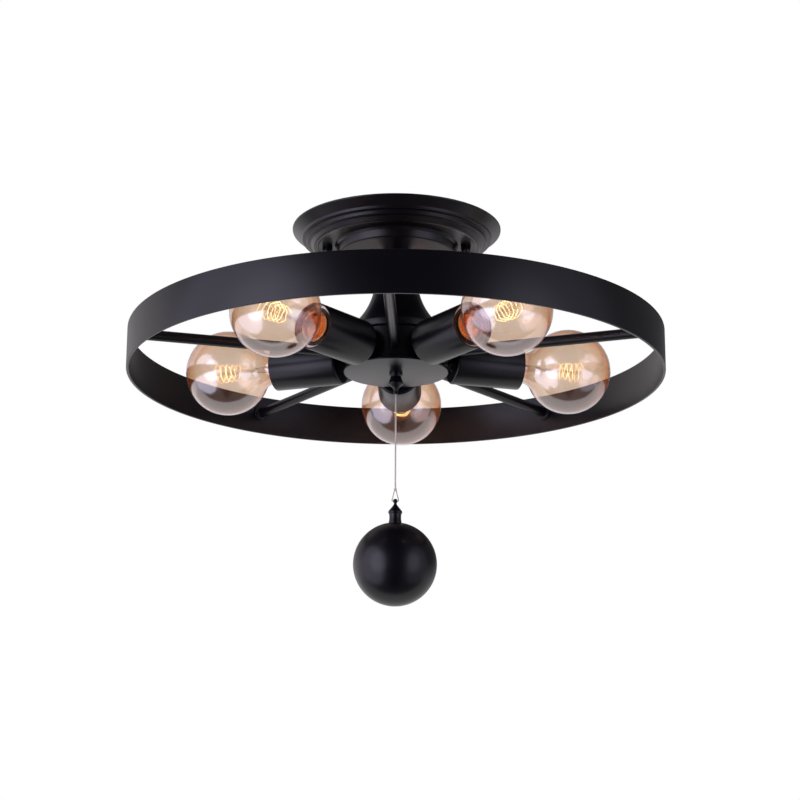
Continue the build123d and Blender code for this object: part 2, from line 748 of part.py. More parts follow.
# Lamp globes: a sphere that blends into the neck, closed round the screw cap's mouth
blend_reach = sqrt((globe_r + glass_blend_r) ** 2 - (glass_neck_r + glass_blend_r) ** 2)
blend_centre = globe_centre - blend_reach
on_globe = globe_r / (globe_r + glass_blend_r)
blend_start = (globe_centre - blend_reach * on_globe, (glass_neck_r + glass_blend_r) * on_globe)
for number, angle in enumerate(lamp_angles, start=1):
    with BuildPart() as bulb_glass:
        with BuildSketch(along_arm(angle)):
            with BuildLine():
                TangentArc((globe_centre + globe_r, 0), blend_start, tangent=(0, 1))
                blend = TangentArc((blend_centre, glass_neck_r), blend_start, tangent=(1, 0))
                Polyline(
                    blend @ 0,
                    (screw_cap_end, glass_neck_r),
                    (screw_cap_end, glass_socket_r),
                    (glass_start, glass_socket_r),
                )
                offset(amount=glass_wall, side=Side.LEFT)
            make_face()
        revolve(axis=arm_axis(angle))
    bulb_glass.part.label = f"bulb_glass_{number}"
    export_step(bulb_glass.part, f"parts/bulb_glass_{number}.step")

    with BuildPart() as bulb_cap:
        with BuildSketch(along_arm(angle)):
            with BuildLine():
                Polyline(
                    (screw_cap_start, insulator_r),
                    (screw_cap_start, screw_cap_r),
                    (screw_cap_end, screw_cap_r),
                    (screw_cap_end, screw_cap_r - screw_cap_wall),
                    (screw_cap_start + screw_cap_wall, screw_cap_r - screw_cap_wall),
                    (screw_cap_start + screw_cap_wall, insulator_r),
                    close=True,
                )
            make_face()
        revolve(axis=arm_axis(angle))
    bulb_cap.part.label = f"bulb_cap_{number}"
    export_step(bulb_cap.part, f"parts/bulb_cap_{number}.step")

    with BuildPart() as bulb_tip:
        with BuildSketch(along_arm(angle)):
            with BuildLine():
                Polyline(
                    (contact_face, 0),
                    (contact_face, tip_r),
                    (contact_face + tip_height, tip_r),
                    (contact_face + tip_height, insulator_tip_r),
                    (screw_cap_start, insulator_r + screw_cap_wall),
                    (screw_cap_start, 0),
                    close=True,
                )
            make_face()
        revolve(axis=arm_axis(angle))
    bulb_tip.part.label = f"bulb_tip_{number}"
    export_step(bulb_tip.part, f"parts/bulb_tip_{number}.step")

    # Glass stem with its flare, centre rod and the wire that runs round it from hook to hook
    flare_r_in_neck = glass_socket_r - glass_wall - seat_gap
    hook_count = round(spiral_turns * spiral_hooks)
    last_turn = hook_count * 360 / spiral_hooks
    spiral = [around_arm(angle, lamp_stem_end - spiral_lead_r, spiral_lead_r, 0)]
    for hook in range(hook_count + 1):
        way = hook / hook_count
        hook_at = spiral_start + (spiral_end - spiral_start) * way
        hook_r = spiral_start_r + (spiral_end_r - spiral_start_r) * way
        spiral.append(around_arm(angle, hook_at, hook_r, last_turn * way))
    spiral.append(around_arm(angle, spiral_end, spiral_return_r, last_turn))
    spiral.append(around_arm(angle, lamp_stem_end - spiral_lead_r, spiral_lead_r, last_turn))
    with BuildPart() as bulb_mount:
        with BuildSketch(along_arm(angle)):
            with BuildLine():
                Polyline(
                    (glass_start, 0),
                    (glass_start, flare_r_in_neck),
                    (glass_start + flare_thickness, flare_r_in_neck),
                    (flare_end, lamp_stem_r),
                    (lamp_stem_end, lamp_stem_r),
                    (lamp_stem_end, centre_rod_r),
                    (centre_rod_end, centre_rod_r),
                    (centre_rod_end, 0),
                    close=True,
                )
            make_face()
        revolve(axis=arm_axis(angle))
        with BuildLine():
            wire = Polyline(*spiral)
        with BuildSketch(Plane(origin=wire @ 0, z_dir=wire % 0)):
            Rectangle(spiral_wire, spiral_wire)
        sweep(path=wire, transition=Transition.RIGHT)
    bulb_mount.part.label = f"bulb_mount_{number}"
    export_step(bulb_mount.part, f"parts/bulb_mount_{number}.step")
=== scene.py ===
# %% [markdown]
# # A ring-shaped ceiling light with five lamps and a pull cord
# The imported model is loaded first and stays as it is: it is the frame that every new piece is
# fitted to. The new pieces stand for most of its nodes, and the rest get a better finish.
# Sizes are written in millimetres, as on a workshop drawing, and turned into Blender's metres.

# %% Load the frame
from math import acos, atan2, cos, degrees, hypot, pi, radians, sin, sqrt

import bpy
from mathutils import Matrix, Vector


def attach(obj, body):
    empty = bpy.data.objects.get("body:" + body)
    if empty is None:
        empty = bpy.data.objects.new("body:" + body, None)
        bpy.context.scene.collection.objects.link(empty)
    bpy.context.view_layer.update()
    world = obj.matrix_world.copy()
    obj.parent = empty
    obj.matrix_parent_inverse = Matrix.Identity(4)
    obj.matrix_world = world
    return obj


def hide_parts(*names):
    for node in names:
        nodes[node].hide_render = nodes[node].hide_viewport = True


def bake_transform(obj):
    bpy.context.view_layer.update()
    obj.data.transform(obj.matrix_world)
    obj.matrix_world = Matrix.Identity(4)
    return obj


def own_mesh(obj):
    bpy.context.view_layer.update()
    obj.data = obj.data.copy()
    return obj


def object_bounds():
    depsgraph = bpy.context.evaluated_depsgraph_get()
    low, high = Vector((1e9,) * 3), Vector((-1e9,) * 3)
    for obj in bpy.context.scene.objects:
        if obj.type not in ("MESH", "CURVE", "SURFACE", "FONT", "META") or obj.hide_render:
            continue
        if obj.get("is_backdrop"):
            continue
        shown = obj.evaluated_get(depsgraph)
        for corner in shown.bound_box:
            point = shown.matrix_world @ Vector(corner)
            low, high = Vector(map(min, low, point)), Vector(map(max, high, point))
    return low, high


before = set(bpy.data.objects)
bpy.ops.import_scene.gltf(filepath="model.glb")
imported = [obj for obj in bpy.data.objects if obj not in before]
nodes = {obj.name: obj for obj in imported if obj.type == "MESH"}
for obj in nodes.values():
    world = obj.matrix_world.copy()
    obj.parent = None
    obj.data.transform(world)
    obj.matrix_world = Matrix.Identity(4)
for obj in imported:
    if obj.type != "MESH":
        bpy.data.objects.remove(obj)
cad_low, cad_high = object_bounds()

mm = 0.001
print("frame:", len(nodes), "nodes, box", [round(v / mm) for v in cad_high - cad_low], "mm")

# %% [markdown]
# ## Node helpers
# Every finish and the studio's light are small trees of nodes. With these helpers an input takes a
# number or a colour, or the output of another node, which is then linked to it. So each tree reads
# from the inside out, and no list of links is needed.

# %% Node helpers
def add_node(tree, kind, values=None, **settings):
    """A new shader node; an input gets a value, or a link where the value is a socket."""
    node = tree.nodes.new("ShaderNode" + kind)
    for name, value in settings.items():
        setattr(node, name, value)
    for name, value in (values or {}).items():
        socket = node.inputs[name]
        if isinstance(value, bpy.types.NodeSocket):
            tree.links.new(value, socket)
        elif socket.type == "RGBA":
            socket.default_value = (*value, 1)
        else:
            socket.default_value = value
    return node


def maths(tree, operation, *inputs, **settings):
    """The result of a math node."""
    values = dict(enumerate(inputs))
    return add_node(tree, "Math", values, operation=operation, **settings).outputs[0]


def between(tree, factor, low, high, start=0.0, end=1.0, **settings):
    """Spreads a factor that runs from start to end over the numbers from low to high."""
    ends = {"From Min": start, "From Max": end, "To Min": low, "To Max": high}
    return add_node(tree, "MapRange", {"Value": factor, **ends}, **settings).outputs["Result"]


def shades(tree, factor, first, second):
    """A colour between two, by a factor."""
    ends = {"Factor": factor, "A": first, "B": second}
    return add_node(tree, "Mix", ends, data_type="RGBA").outputs["Result"]


def mixed(tree, factor, first, second):
    """A node that mixes the shaders of two nodes by a factor."""
    return add_node(tree, "MixShader", {0: factor, 1: first.outputs[0], 2: second.outputs[0]})


def emptied(holder):
    """The node tree of a material or world, with nothing in it."""
    holder.use_nodes = True
    holder.node_tree.nodes.clear()
    return holder.node_tree


def seen_white(tree):
    """Two factors: 1 for rays from camera, mirrors and glass, and 1 for rays from mirrors."""
    path = add_node(tree, "LightPath").outputs
    seen = maths(tree, "ADD", path["Is Camera Ray"], path["Is Glossy Ray"])
    seen = maths(tree, "ADD", seen, path["Is Transmission Ray"], use_clamp=True)
    return seen, path["Is Glossy Ray"]


# %% [markdown]
# ## Studio
# A product photo of a black lamp lives from what the lamp mirrors. The world is plain white to the
# camera, and Light Path lets mirrors and glass see a white too. In mirrors it is bright only on the
# far side, low down and more to the left, and the room on the camera's side is dim.

# %% World
scene = bpy.context.scene
scene.view_settings.view_transform = "Standard"
studio = bpy.data.worlds.new("studio")
scene.world = studio
sky = emptied(studio)
soft = {"interpolation_type": "SMOOTHSTEP"}
looking = add_node(sky, "TexCoord").outputs["Generated"]
direction = add_node(sky, "SeparateXYZ", {0: looking}).outputs

low_z, high_z, low_light, high_light = -0.30, 0.40, 1.15, 0.18
left_gain = -0.50
height = between(sky, direction["Z"], low_light, high_light, low_z, high_z)
lean = maths(sky, "MULTIPLY_ADD", direction["X"], left_gain, height, use_clamp=True)
far_edge, far_blur = 0.22, 0.02
far_side = between(sky, direction["Y"], 0, 1, far_edge - far_blur, far_edge + far_blur, **soft)
far_light = maths(sky, "MULTIPLY", lean, far_side)

room_dark, side_light, side_slope, side_blur = 0.03, 0.12, 0.50, 0.05
sideways = maths(sky, "ABSOLUTE", direction["X"])
off_middle = maths(sky, "MULTIPLY_ADD", direction["Y"], side_slope, sideways)
beside = between(sky, off_middle, room_dark, side_light, -side_blur, side_blur, **soft)
around = maths(sky, "MAXIMUM", far_light, beside)

room_light, room_white, plain_white = 0.28, (1.0, 0.955, 0.995), (1, 1, 1)
seen, in_mirror = seen_white(sky)
strength = add_node(sky, "Mix", {"Factor": in_mirror, "A": 1.0, "B": around}, data_type="FLOAT")
white = add_node(sky, "Background", {
    "Color": shades(sky, in_mirror, plain_white, room_white),
    "Strength": strength.outputs["Result"],
})
fill = add_node(sky, "Background", {"Color": plain_white, "Strength": room_light})
add_node(sky, "OutputWorld", {"Surface": mixed(sky, seen, fill, white).outputs[0]})
print("world: fill light", room_light, "and room behind the camera", room_dark)

# %% [markdown]
# ### Paper sweep
# A sheet of white paper lies under and behind the object and keeps its shadow. Most of its white
# comes from the sheet itself, so that it meets the white world without an edge, and it is a little
# dimmer in mirrors.

# %% Paper sweep
sweep_front, sweep_back, sweep_half, sweep_z = 0.34, 3.6, 3.0, -1.2
bpy.ops.mesh.primitive_plane_add(size=1.0)
sweep = bpy.context.object
sweep.name = "paper_sweep"
sweep.scale = (2 * sweep_half, sweep_back - sweep_front, 1)
sweep.location = (0, (sweep_back + sweep_front) / 2, sweep_z)
bpy.ops.object.transform_apply()
sweep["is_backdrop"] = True

own_white, paper_in_mirrors, paper_grey = 0.96, 0.7, (0.8, 0.8, 0.8)
paper = bpy.data.materials.new("paper")
tree = emptied(paper)
seen, in_mirror = seen_white(tree)
lit = add_node(tree, "BsdfDiffuse", {"Color": paper_grey})
strength = maths(tree, "MULTIPLY_ADD", in_mirror, paper_in_mirrors - 1, 1.0)
plain = add_node(tree, "Emission", {"Strength": strength})
sheet = mixed(tree, maths(tree, "MULTIPLY", seen, own_white), lit, plain)
add_node(tree, "OutputMaterial", {"Surface": sheet.outputs[0]})
sweep.data.materials.append(paper)
print("paper sweep:", [round(v, 2) for v in sweep.dimensions], "m, at", sweep_z, "m")

# %% [markdown]
# ### Soft boxes
# An area lamp is both the light and the shape that shines in the glass. An oval one gives the round
# patches that such globes show. Its brightness is power divided by pi and by its area, so the cell
# sets the brightness, which is 1 for white paper, and works the power out.

# %% Soft boxes
def new_light(name, kind, power, colour, place):
    """A light that the camera doesn't see, and the object that holds it."""
    light = bpy.data.lights.new(name, kind)
    light.energy = power
    light.color = colour
    holder = bpy.data.objects.new(name, light)
    scene.collection.objects.link(holder)
    holder.location = place
    holder.visible_camera = False
    return light, holder


cool_white = (0.85, 0.83, 1.06)
for name, place, width, height, brightness in (
    ("soft_box_left", (-1.83, -0.81, -0.80), 2.8, 4.2, 1.35),
    ("soft_box_left_core", (-1.42, -1.41, -0.34), 1.7, 2.0, 1.3),
    ("soft_box_right", (1.83, -0.81, -0.80), 2.6, 4.0, 0.42),
    ("soft_box_right_core", (1.62, -1.18, -0.40), 1.3, 1.7, 0.95),
):
    power = brightness * pi * (pi / 4 * width * height)
    light, holder = new_light(name, "AREA", power, cool_white, place)
    light.shape = "ELLIPSE"
    light.size, light.size_y = width, height
    to_axis = Vector((-place[0], -place[1], 0))
    holder.rotation_euler = to_axis.to_track_quat("-Z", "Y").to_euler()
    print(name, "gives", round(power, 1), "W")

# %% [markdown]
# ## Camera
# The photograph was taken from a little below, looking up. Its angle, distance and lens come from
# the outlines of ring, canopy, plate and ball, and the camera also leans a quarter of a degree.

# %% Camera
photo_size, focal_pixels = 800, 2081.7
aim_z, distance, aside = -165.5, 1918.0, 3.87
look_up, azimuth, roll = radians(15.565), radians(1.8), radians(0.26)

lens = bpy.data.cameras.new("camera")
lens.sensor_width = 36.0
lens.lens = focal_pixels * lens.sensor_width / photo_size
lens.clip_end = 50
camera = bpy.data.objects.new("camera", lens)
scene.collection.objects.link(camera)
scene.camera = camera
forward = Vector((-sin(azimuth) * cos(look_up), cos(azimuth) * cos(look_up), sin(look_up)))
right = forward.cross(Vector((0, 0, 1))).normalized()
up = right.cross(forward)
turn_right = right * cos(roll) + up * sin(roll)
turn_up = up * cos(roll) - right * sin(roll)
eye = Vector((0, 0, aim_z)) - forward * distance + right * aside
facing_axes = Matrix((turn_right, turn_up, -forward)).transposed().to_4x4()
camera.matrix_world = Matrix.Translation(eye * mm) @ facing_axes
print("camera at", [round(v, 3) for v in eye * mm], "lens", round(lens.lens, 1))

# %% [markdown]
# ## Editing helpers
# Blender's operators work on what is selected, so the first helper says what that is. Doubles are
# merged before the normals are turned outwards, because an open seam could turn some the wrong way.

# %% Editing helpers
def only(piece):
    """Selects one piece alone and makes it active."""
    bpy.ops.object.select_all(action="DESELECT")
    piece.select_set(True)
    bpy.context.view_layer.objects.active = piece


def copied(piece):
    """A copy of a piece, with a mesh of its own."""
    only(piece)
    bpy.ops.object.duplicate(linked=False)
    return bpy.context.object


def joined(piece, *others):
    """One object from several."""
    only(piece)
    for other in others:
        other.select_set(True)
    bpy.ops.object.join()
    return piece


def merge_all(distance=1e-6):
    """In edit mode, merges vertices that lie together, and leaves all selected."""
    bpy.ops.mesh.select_all(action="SELECT")
    bpy.ops.mesh.remove_doubles(threshold=distance)


def face_out():
    """In edit mode, turns all normals outwards, and goes back to object mode."""
    bpy.ops.mesh.select_all(action="SELECT")
    bpy.ops.mesh.normals_make_consistent(inside=False)
    bpy.ops.object.mode_set(mode="OBJECT")


# %% [markdown]
# ## Pull cord
# The real cord is a few thin strands of pale yarn laid round each other. One smooth line is drawn
# from the switch rod to the knot, and strands that wind round its points make the cord. It bends
# at two places under its outlet, so it is made in two lengths: each blends across one bend.

# %% Cord route and strands
rod_end_z, first_bend_z, second_bend_z = -138.7, -160.8, -166.8
cord_split_z = (first_bend_z + second_bend_z) / 2
knot_z, eye_z = -250.3, -261.0
cord_heights = (rod_end_z, first_bend_z, second_bend_z, -195.0, -225.0, knot_z)
cord_r, strand_count, strand_r, cord_lay = 0.8, 3, 0.38, 4.6


def route(name, points, fineness):
    """Points along one open NURBS line through millimetre points, from a curve with no bevel."""
    line = bpy.data.curves.new(name, "CURVE")
    line.dimensions = "3D"
    line.resolution_u = fineness
    spline = line.splines.new("NURBS")
    spline.points.add(len(points) - 1)
    for control, place in zip(spline.points, points):
        control.co = (*(Vector(place) * mm), 1)
    spline.order_u = 3
    spline.use_endpoint_u = True
    holder = bpy.data.objects.new(name, line)
    bare = bpy.data.meshes.new_from_object(holder)
    found = [v.co.copy() for v in bare.vertices]
    bpy.data.objects.remove(holder)
    bpy.data.curves.remove(line)
    bpy.data.meshes.remove(bare)
    return found


def tubes(name, lines, radius, sides=2):
    """One mesh of round tubes along lists of points."""
    wires = bpy.data.curves.new(name, "CURVE")
    wires.dimensions = "3D"
    wires.bevel_depth = radius * mm
    wires.bevel_resolution = sides
    wires.use_fill_caps = True
    for line in lines:
        spline = wires.splines.new("POLY")
        spline.points.add(len(line) - 1)
        for control, place in zip(spline.points, line):
            control.co = (*place, 1)
    piece = bpy.data.objects.new(name, wires)
    scene.collection.objects.link(piece)
    only(piece)
    bpy.ops.object.convert(target="MESH")
    piece = bpy.context.object
    bpy.ops.object.mode_set(mode="EDIT")
    merge_all(1e-7)
    face_out()
    bpy.ops.object.shade_smooth()
    return piece


def strands(line, count, offset, lay, start=0.0):
    """Lists of points that wind round a line, one turn in every lay length."""
    side = Vector((0, 1, 0))
    wound = [[] for _ in range(count)]
    along = start
    for here, nearby in zip(line, line[1:] + [line[-1] * 2 - line[-2]]):
        ahead = (nearby - here).normalized()
        across = (side - ahead * side.dot(ahead)).normalized()
        other = ahead.cross(across)
        for k, strand in enumerate(wound):
            turn = 2 * pi * (along / (lay * mm) + k / count)
            strand.append(here + (across * cos(turn) + other * sin(turn)) * offset * mm)
        along += (nearby - here).length
    return wound


cord_line = route("cord_route", [(0, 0, z) for z in cord_heights], fineness=110)
upper_line = [p for p in cord_line if p.z >= cord_split_z * mm]
lower_line = [upper_line[-1]] + [p for p in cord_line if p.z < cord_split_z * mm]
upper_length = (upper_line[0] - upper_line[-1]).length
cord_pattern = (strand_count, cord_r - strand_r, cord_lay)
cord_in_outlet = tubes("cord_in_outlet", strands(upper_line, *cord_pattern), strand_r)
cord = tubes("cord", strands(lower_line, *cord_pattern, start=upper_length), strand_r)

# %% [markdown]
# ### Loop and knot
# Under the knot the cord parts into a small triangle that runs through the eye of the ball's cap.
# Its line has extra points beside the corners, so that the smooth curve stays near them. The knot
# is the same yarn wound round itself in a few tight turns.

# %% Loop and knot
loop_half, loop_top, loop_r, loop_lay = 3.2, 0.55, 0.55, 2.4
half_loop = [
    (loop_top, knot_z), (loop_half * 0.80, eye_z + 2.6), (loop_half, eye_z + 0.2),
    (loop_half * 0.55, eye_z),
]
loop_points = [(-x, 0, z) for x, z in half_loop] + [(x, 0, z) for x, z in reversed(half_loop)]
loop_line = route("loop_route", loop_points, fineness=40)
loop = tubes("cord_tied_loop", strands(loop_line, 2, loop_r * 0.5, loop_lay), loop_r * 0.55)

knot_turns, knot_steps, knot_radius, knot_height, knot_yarn_r = 3, 12, 0.85, 1.7, 0.5
knot_points = [
    Vector((
        knot_radius * cos(2 * pi * t / knot_steps),
        knot_radius * sin(2 * pi * t / knot_steps),
        knot_z + knot_height * (0.5 - t / (knot_steps * knot_turns)),
    ))
    for t in range(knot_steps * knot_turns + 1)
]
knot = tubes("cord_knot", [route("knot_route", knot_points, fineness=8)], knot_yarn_r)
joined(loop, knot)
print("loop and knot:", len(loop.data.polygons), "faces")

# %% [markdown]
# ### Yarn
# Pale cotton scatters light softly. Fine noise stretched along the cord gives fibres, and a
# second, larger noise varies the colour a little.

# %% Yarn finish
def new_finish(name):
    """A new material, its empty tree and its object coordinates."""
    finish = bpy.data.materials.new(name)
    tree = emptied(finish)
    return finish, tree, add_node(tree, "TexCoord").outputs["Object"]


def ends_with(tree, shader):
    """Ends a material's tree with the shader of a node."""
    add_node(tree, "OutputMaterial", {"Surface": shader.outputs[0]})


def skin(tree, values):
    """Ends a material's tree with the general shader and its values."""
    ends_with(tree, add_node(tree, "BsdfPrincipled", values))


def grain(tree, place, scale, detail=2.0, stretch=(1, 1, 1)):
    """Noise on object coordinates, as a factor from 0 to 1."""
    turned = add_node(tree, "Mapping", {"Vector": place, "Scale": stretch}).outputs[0]
    noise = add_node(tree, "TexNoise", {"Vector": turned, "Scale": scale, "Detail": detail})
    return noise.outputs[0]


def relief(tree, factor, height):
    """A bump normal from a factor, with its height in millimetres."""
    values = {"Strength": 1.0, "Distance": height * mm, "Height": factor}
    return add_node(tree, "Bump", values).outputs["Normal"]


fibre_scale, fibre_stretch, fibre_height, tint_scale = 2600, (1, 1, 0.25), 0.15, 420
yarn, tree, place = new_finish("pale_yarn")
fibre = grain(tree, place, fibre_scale, 3.0, fibre_stretch)
tint = grain(tree, place, tint_scale)
skin(tree, {
    "Base Color": shades(tree, tint, (0.42, 0.45, 0.48), (0.54, 0.57, 0.60)),
    "Roughness": 0.75,
    "Sheen Weight": 0.3,
    "Normal": relief(tree, fibre, fibre_height),
})
for piece in (cord_in_outlet, cord, loop):
    piece.data.materials.clear()
    piece.data.materials.append(yarn)

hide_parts("cord_inner", "cord_upper")
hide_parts("cord_lower")
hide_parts("cord_loop")
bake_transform(cord_in_outlet)
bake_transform(cord)
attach(loop, "loop")

# %% [markdown]
# ## Turned pieces
# Canopy, neck, hub, ring and ball are all round, and in the workshop they are spun or turned. The
# same works here: half of the outline is drawn by extruding one vertex from corner to corner,
# corners are rounded with a vertex bevel, and Spin carries the outline round its axis.

# %% Outline and spin helpers
arm_z = -124.0
same_place = 0.01
corner_steps = 5


def loose_vertex(name, x, z):
    """A new object in edit mode that holds one vertex, made from a plane merged to its middle."""
    bpy.ops.mesh.primitive_plane_add(size=mm)
    piece = bpy.context.object
    piece.name = piece.data.name = name
    bpy.ops.object.mode_set(mode="EDIT")
    bpy.ops.mesh.select_all(action="SELECT")
    bpy.ops.mesh.merge(type="CENTER")
    bpy.ops.transform.translate(value=(x * mm, 0, z * mm))
    return piece


def pick(piece, wanted):
    """In edit mode, selects the vertices whose place in millimetres is wanted."""
    bpy.ops.mesh.select_all(action="DESELECT")
    bpy.ops.object.mode_set(mode="OBJECT")
    for vertex in piece.data.vertices:
        vertex.select = wanted(vertex.co / mm)
    bpy.ops.object.mode_set(mode="EDIT")


def pick_corner(piece, x, z):
    """In edit mode, selects the vertex at a corner of the outline."""
    pick(piece, lambda p: abs(p.x - x) < same_place and abs(p.z - z) < same_place)


def draw_on(start, corners):
    """Extrudes the selected vertex from corner to corner of the XZ plane."""
    here = Vector(start[:2])
    for corner in corners:
        step = (Vector(corner[:2]) - here) * mm
        bpy.ops.mesh.extrude_vertices_move(TRANSFORM_OT_translate={"value": (step.x, 0, step.y)})
        here = Vector(corner[:2])


def round_corners(piece, corners):
    """Rounds each (x, z) corner that has a third number, which is how far."""
    for x, z, rounding in (corner for corner in corners if len(corner) == 3):
        pick_corner(piece, x, z)
        bpy.ops.mesh.bevel(offset=rounding * mm, segments=corner_steps, affect="VERTICES")


def outline(name, corners, closed=False, base=0.0):
    """A chain of edges through (x, z above base) corners; a third number rounds a corner."""
    corners = [(x, base + z, *rounding) for x, z, *rounding in corners]
    piece = loose_vertex(name, *corners[0][:2])
    draw_on(corners[0], corners[1:] + corners[:1] if closed else corners[1:])
    merge_all()
    round_corners(piece, corners)
    return piece


def turned(piece, steps, arm=False):
    """Spins the outline round the upright axis, or round the arm along +X, and closes the seam."""
    bpy.ops.mesh.select_all(action="SELECT")
    centre, axis = ((0, 0, arm_z * mm), (1, 0, 0)) if arm else ((0, 0, 0), (0, 0, 1))
    bpy.ops.mesh.spin(steps=steps, angle=2 * pi, center=centre, axis=axis)
    merge_all()
    face_out()
    return piece


def spun(name, steps, corners, closed=False, arm=False):
    """A round piece from half of its outline; on the arm, heights count from the arm's axis."""
    return turned(outline(name, corners, closed, arm_z if arm else 0.0), steps, arm)


# %% [markdown]
# ### Walls, edges and places
# A modifier gives a sheet its wall, and another takes the sharpness off an edge; both are applied.
# Each finished piece is told which body it moves with and which nodes it stands for. What repeats
# round the hub is modelled once along +X, and each copy has a mesh of its own.

# %% Piece helpers
smooth_below = radians(35)


def give_wall(piece, thickness, inside_slot=0):
    """A wall on the inner side of an open shell, whose inside may take a later material slot."""
    wall = piece.modifiers.new("wall", "SOLIDIFY")
    wall.thickness = thickness * mm
    wall.offset = -1
    wall.use_even_offset = True
    wall.material_offset = inside_slot
    bpy.ops.object.modifier_apply(modifier=wall.name)


def soften(piece, width, limit):
    """Small round edges where faces meet at more than a limit in degrees."""
    edge = piece.modifiers.new("edge", "BEVEL")
    edge.width = width * mm
    edge.segments = 2
    edge.limit_method = "ANGLE"
    edge.angle_limit = radians(limit)
    bpy.ops.object.modifier_apply(modifier=edge.name)


def dress(piece, finish, body, slot, *stands_for):
    """Smooth shading, a finish, the body that the piece moves with and the nodes it stands for."""
    only(piece)
    bpy.ops.object.shade_smooth_by_angle(angle=smooth_below)
    if not piece.material_slots:
        bpy.ops.object.material_slot_add()
    piece.material_slots[0].material = finish
    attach(piece, body)
    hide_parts(*stands_for)
    size = [round(v / mm, 1) for v in piece.dimensions]
    print(piece.name, "for", *stands_for, ":", len(piece.data.polygons), "faces,", size, "mm")


def dress_round(model, angles, finish, body, slot, *stands_for):
    """Dressed copies of a piece, one at each angle; {} in a body or node is the copy's number."""
    name = model.name
    made = []
    for number, angle in enumerate(angles, start=1):
        copy = copied(model)
        copy.name = copy.data.name = f"{name}_{number}"
        copy.rotation_euler.z = radians(angle)
        bpy.ops.object.transform_apply(location=False, rotation=True, scale=False)
        made.append(copy)
    bpy.data.objects.remove(model)
    for number, copy in enumerate(made, start=1):
        places = [node.format(number) for node in stands_for]
        dress(copy, finish, body.format(number), slot, *places)


# %% [markdown]
# ## Black powder coat
# Powder coat melts into a skin with a faint orange peel: low bumps about a millimetre apart. It is
# satin, so it mirrors softly and brightens at flat angles. The roughness drifts a little from place
# to place, as the film's thickness does.

# %% Black powder coat
drift_scale, peel_scale, peel_height, coat_index = 28, 700, 0.02, 1.44


def powder_coat(name, dark, light, smooth, rough):
    """A satin coat whose colour and roughness drift between two ends."""
    finish, tree, place = new_finish(name)
    drift = grain(tree, place, drift_scale)
    peel = grain(tree, place, peel_scale, 1.0)
    skin(tree, {
        "Base Color": shades(tree, drift, dark, light),
        "Roughness": between(tree, drift, smooth, rough),
        "IOR": coat_index,
        "Normal": relief(tree, peel, peel_height),
    })
    return finish


black_coat = powder_coat(
    "black_powder_coat", (0.0015, 0.0014, 0.0034), (0.0021, 0.0020, 0.0043), 0.28, 0.34
)
ball_coat = powder_coat(
    "black_ball_coat", (0.0015, 0.0013, 0.0036), (0.0021, 0.0019, 0.0046), 0.28, 0.32
)


def paint(piece, node):
    """Dresses a fixed piece in the black coat."""
    dress(piece, black_coat, "fixture", "black_paint", node)


print("powder coat: orange peel", peel_height, "mm high")

# %% [markdown]
# ## Canopy
# The canopy is a spun steel dish with two ledges and a raised boss, open at the ceiling. It is an
# open sheet that gets a wall.

# %% Canopy
pipe_hole_r, sheet_wall = 4.9, 1.0
canopy = spun("canopy_dish", 192, [
    (97.9, 0.0), (97.9, -1.2, 0.5), (89.0, -8.0, 0.9), (89.0, -10.5, 1.0), (84.5, -10.5, 0.9),
    (84.5, -14.0, 0.9), (80.5, -14.0, 0.9), (78.0, -18.5, 1.1), (74.5, -18.5, 1.0),
    (73.0, -16.0, 0.8), (58.0, -16.0, 0.7), (56.2, -18.5, 0.5), (54.6, -25.4, 1.2),
    (pipe_hole_r, -25.4),
])
give_wall(canopy, sheet_wall)
paint(canopy, "canopy")

# %% [markdown]
# ## Neck
# The trumpet is a straight taper that runs into a round flare without a kink. The chord from the
# taper's end to the foot gives the flare's radius and centre, and a first Spin draws it.

# %% Neck
neck_top, taper_end, neck_foot = (11.4, -25.4), (22.0, -64.0), (45.0, -99.0)
taper = atan2(taper_end[0] - neck_top[0], neck_top[1] - taper_end[1])
chord_out, chord_down = neck_foot[0] - taper_end[0], taper_end[1] - neck_foot[1]
flare_turn = 2 * (atan2(chord_out, chord_down) - taper)
flare_r = hypot(chord_out, chord_down) / (2 * sin(flare_turn / 2))
flare_centre = Vector((taper_end[0] + flare_r * cos(taper), 0, taper_end[1] + flare_r * sin(taper)))
neck_start = (pipe_hole_r, neck_top[1])
neck = loose_vertex("neck_trumpet", *neck_start)
draw_on(neck_start, [neck_top, taper_end])
bpy.ops.mesh.spin(steps=18, angle=flare_turn, center=flare_centre * mm, axis=(0, 1, 0))
print("neck flare: radius", round(flare_r, 1), "mm, turn", round(degrees(flare_turn), 1))
pick(neck, lambda p: p.z < neck_foot[1] + 0.5)
foot_corners = [(46.2, -99.0, 0.8), (46.2, -106.5, 1.2), (38.0, -106.5)]
draw_on(neck_foot, foot_corners)
round_corners(neck, foot_corners)
turned(neck, 128)
give_wall(neck, sheet_wall)
paint(neck, "neck")

# %% [markdown]
# ## Hub, plate and cord outlet
# The hub is a drum that is open below, and a thin round plate with a short spigot closes it. The
# cord comes out of a small turned outlet under the plate. All three outlines are closed.

# %% Hub, plate and cord outlet
paint(spun("hub_drum", 128, [
    (pipe_hole_r, -106.5), (44.5, -106.5, 0.6), (44.5, -136.7, 0.3), (42.5, -136.7),
    (42.5, -108.5), (pipe_hole_r, -108.5),
], closed=True), "hub_body")

paint(spun("hub_cover_plate", 160, [
    (3.05, -139.7), (48.6, -139.7, 0.8), (48.6, -136.7, 0.8), (42.35, -136.7), (42.35, -132.7),
    (40.35, -132.7), (40.35, -136.7), (3.05, -136.7),
], closed=True), "hub_plate")

